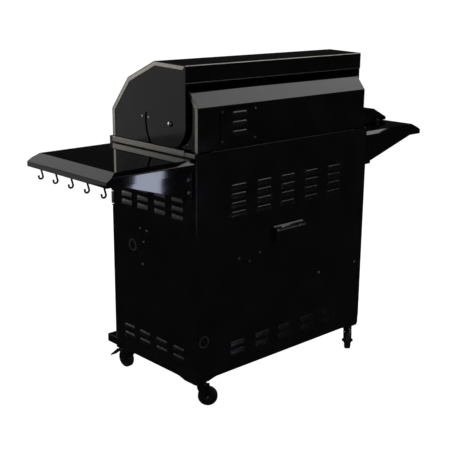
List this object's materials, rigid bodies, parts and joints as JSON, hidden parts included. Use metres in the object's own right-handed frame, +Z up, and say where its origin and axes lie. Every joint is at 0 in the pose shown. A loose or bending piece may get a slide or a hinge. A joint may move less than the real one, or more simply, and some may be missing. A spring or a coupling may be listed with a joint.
{
  "type": "gas barbecue grill",
  "caption": "Black free-standing gas grill on casters: domed lid on a doored cabinet, folded side shelves with tool hooks, and a covered side burner.",
  "frame": {"origin": "floor point under the middle of the grill's bounding box", "axes": "+Z up, +Y towards the back of the grill, +X towards the side shelf with the tool hooks"},
  "size_m": [1.574, 0.5668, 1.1865],
  "materials": {
    "black_enamel": "gloss",
    "black_powder": "semi-gloss",
    "polished_trim": "polished",
    "brushed_stainless": "brushed",
    "stainless_sheet": "satin",
    "cast_iron": "matte enamel",
    "aluminium_casting": "satin",
    "zinc_steel": "zinc plated",
    "black_wire": "gloss",
    "knob_plastic": "gloss",
    "needle_paint": "satin",
    "grommet_rubber": "matte",
    "wheel_plastic": "satin"
  },
  "bodies": {
    "cabinet": {"base_tray": "black_powder", "corner_feet": "black_powder", "side_panel_right": "black_powder", "side_panel_left": "black_powder", "back_panel": "black_powder", "hose_hood": "black_powder", "cable_grommets": "grommet_rubber", "inner_frame": "black_powder", "door_hardware": "zinc_steel", "control_panel": "black_powder", "knob_bezels": "brushed_stainless", "gas_valves": "aluminium_casting", "gas_manifold": "zinc_steel", "firebox": "black_powder", "main_burners": "stainless_sheet", "flame_tamers": "stainless_sheet", "cooking_grates": "cast_iron", "warming_rack": "stainless_sheet", "grease_cup": "stainless_sheet", "top_rails": "polished_trim", "rear_cowl": "black_enamel", "cowl_vent": "black_enamel", "rear_burner": "stainless_sheet", "shelf_right": "black_powder", "shelf_left": "black_powder", "shelf_brackets": "black_powder", "tool_hooks": "black_wire", "side_burner_pan": "stainless_sheet", "side_burner_ring": "aluminium_casting", "side_burner_trivet": "cast_iron", "fasteners": "zinc_steel"},
    "lid": {"lid_shell": "black_enamel", "lid_end_right": "black_enamel", "lid_end_left": "black_enamel", "lid_handle": "brushed_stainless", "thermometer_case": "brushed_stainless"},
    "needle": {"thermometer_needle": "needle_paint"},
    "door_right": {"door_right": "black_powder", "door_handle_right": "brushed_stainless"},
    "door_left": {"door_left": "black_powder", "door_handle_left": "brushed_stainless"},
    "knob_1": {"knob_1": "knob_plastic"},
    "knob_2": {"knob_2": "knob_plastic"},
    "knob_3": {"knob_3": "knob_plastic"},
    "knob_4": {"knob_4": "knob_plastic"},
    "knob_5": {"knob_5": "knob_plastic"},
    "side_burner_knob": {"side_burner_knob": "knob_plastic"},
    "igniter_button": {"igniter_button": "knob_plastic"},
    "drip_tray": {"drip_tray": "stainless_sheet"},
    "side_burner_cover": {"side_burner_cover": "black_powder"},
    "caster_rear_right": {"caster_fork_rear_right": "black_powder"},
    "wheel_rear_right": {"caster_wheel_rear_right": "wheel_plastic"},
    "caster_rear_left": {"caster_fork_rear_left": "black_powder"},
    "wheel_rear_left": {"caster_wheel_rear_left": "wheel_plastic"},
    "caster_front_right": {"caster_fork_front_right": "black_powder"},
    "wheel_front_right": {"caster_wheel_front_right": "wheel_plastic"},
    "brake_front_right": {"brake_pedal_front_right": "wheel_plastic"},
    "caster_front_left": {"caster_fork_front_left": "black_powder"},
    "wheel_front_left": {"caster_wheel_front_left": "wheel_plastic"},
    "brake_front_left": {"brake_pedal_front_left": "wheel_plastic"}
  },
  "joints": [
    {"name": "lid_hinge", "type": "hinge", "parent": "cabinet", "child": "lid", "pos_m": [0, 0.1273, 0.985], "axis": [-1, 0, 0], "range_deg": [0, 85]},
    {"name": "thermometer_needle_turn", "type": "hinge", "parent": "lid", "child": "needle", "pos_m": [0, -0.15124, 1.0672], "axis": [0, 0.7677, -0.6408], "range_deg": [0, 270]},
    {"name": "door_right_hinge", "type": "hinge", "parent": "cabinet", "child": "door_right", "pos_m": [0.4315, -0.209, 0.3975], "axis": [0, 0, 1], "range_deg": [0, 110]},
    {"name": "door_left_hinge", "type": "hinge", "parent": "cabinet", "child": "door_left", "pos_m": [-0.4315, -0.209, 0.3975], "axis": [0, 0, -1], "range_deg": [0, 110]},
    {"name": "knob_1_turn", "type": "hinge", "parent": "cabinet", "child": "knob_1", "pos_m": [-0.316, -0.223, 0.796], "axis": [0, -1, 0], "range_deg": [0, 180]},
    {"name": "knob_2_turn", "type": "hinge", "parent": "cabinet", "child": "knob_2", "pos_m": [-0.158, -0.223, 0.796], "axis": [0, -1, 0], "range_deg": [0, 180]},
    {"name": "knob_3_turn", "type": "hinge", "parent": "cabinet", "child": "knob_3", "pos_m": [0, -0.223, 0.796], "axis": [0, -1, 0], "range_deg": [0, 180]},
    {"name": "knob_4_turn", "type": "hinge", "parent": "cabinet", "child": "knob_4", "pos_m": [0.158, -0.223, 0.796], "axis": [0, -1, 0], "range_deg": [0, 180]},
    {"name": "knob_5_turn", "type": "hinge", "parent": "cabinet", "child": "knob_5", "pos_m": [0.316, -0.223, 0.796], "axis": [0, -1, 0], "range_deg": [0, 180]},
    {"name": "side_burner_knob_turn", "type": "hinge", "parent": "cabinet", "child": "side_burner_knob", "pos_m": [-0.616, -0.206, 0.859], "axis": [0, -1, 0], "range_deg": [0, 180]},
    {"name": "igniter_button_press", "type": "slide", "parent": "cabinet", "child": "igniter_button", "axis": [0, 1, 0], "range_m": [0, 0.005], "stiffness_N_per_m": 500, "springref_m": -0.002},
    {"name": "drip_tray_slide", "type": "slide", "parent": "cabinet", "child": "drip_tray", "axis": [0, -1, 0], "range_m": [0, 0.38]},
    {"name": "side_burner_cover_hinge", "type": "hinge", "parent": "cabinet", "child": "side_burner_cover", "pos_m": [-0.616, 0.116, 0.89], "axis": [-1, 0, 0], "range_deg": [0, 90]},
    {"name": "caster_rear_right_swivel", "type": "hinge", "parent": "cabinet", "child": "caster_rear_right", "pos_m": [0.395, 0.237, 0.082], "axis": [0, 0, 1], "continuous": true},
    {"name": "wheel_rear_right_roll", "type": "hinge", "parent": "caster_rear_right", "child": "wheel_rear_right", "pos_m": [0.37964, 0.25132, 0.035], "axis": [-0.682, -0.7314, 0], "continuous": true},
    {"name": "caster_rear_left_swivel", "type": "hinge", "parent": "cabinet", "child": "caster_rear_left", "pos_m": [-0.395, 0.237, 0.082], "axis": [0, 0, 1], "continuous": true},
    {"name": "wheel_rear_left_roll", "type": "hinge", "parent": "caster_rear_left", "child": "wheel_rear_left", "pos_m": [-0.37964, 0.25132, 0.035], "axis": [-0.682, 0.7314, 0], "continuous": true},
    {"name": "caster_front_right_swivel", "type": "hinge", "parent": "cabinet", "child": "caster_front_right", "pos_m": [0.395, -0.183, 0.082], "axis": [0, 0, 1], "continuous": true},
    {"name": "wheel_front_right_roll", "type": "hinge", "parent": "caster_front_right", "child": "wheel_front_right", "pos_m": [0.39573, -0.20399, 0.035], "axis": [0.9994, 0.0349, 0], "continuous": true},
    {"name": "brake_front_right_press", "type": "hinge", "parent": "caster_front_right", "child": "brake_front_right", "pos_m": [0.39577, -0.20499, 0.0665], "axis": [0.9994, 0.0349, 0], "range_deg": [0, 8]},
    {"name": "caster_front_left_swivel", "type": "hinge", "parent": "cabinet", "child": "caster_front_left", "pos_m": [-0.395, -0.183, 0.082], "axis": [0, 0, 1], "continuous": true},
    {"name": "wheel_front_left_roll", "type": "hinge", "parent": "caster_front_left", "child": "wheel_front_left", "pos_m": [-0.39573, -0.20399, 0.035], "axis": [0.9994, -0.0349, 0], "continuous": true},
    {"name": "brake_front_left_press", "type": "hinge", "parent": "caster_front_left", "child": "brake_front_left", "pos_m": [-0.39577, -0.20499, 0.0665], "axis": [0.9994, -0.0349, 0], "range_deg": [0, 8]}
  ]
}
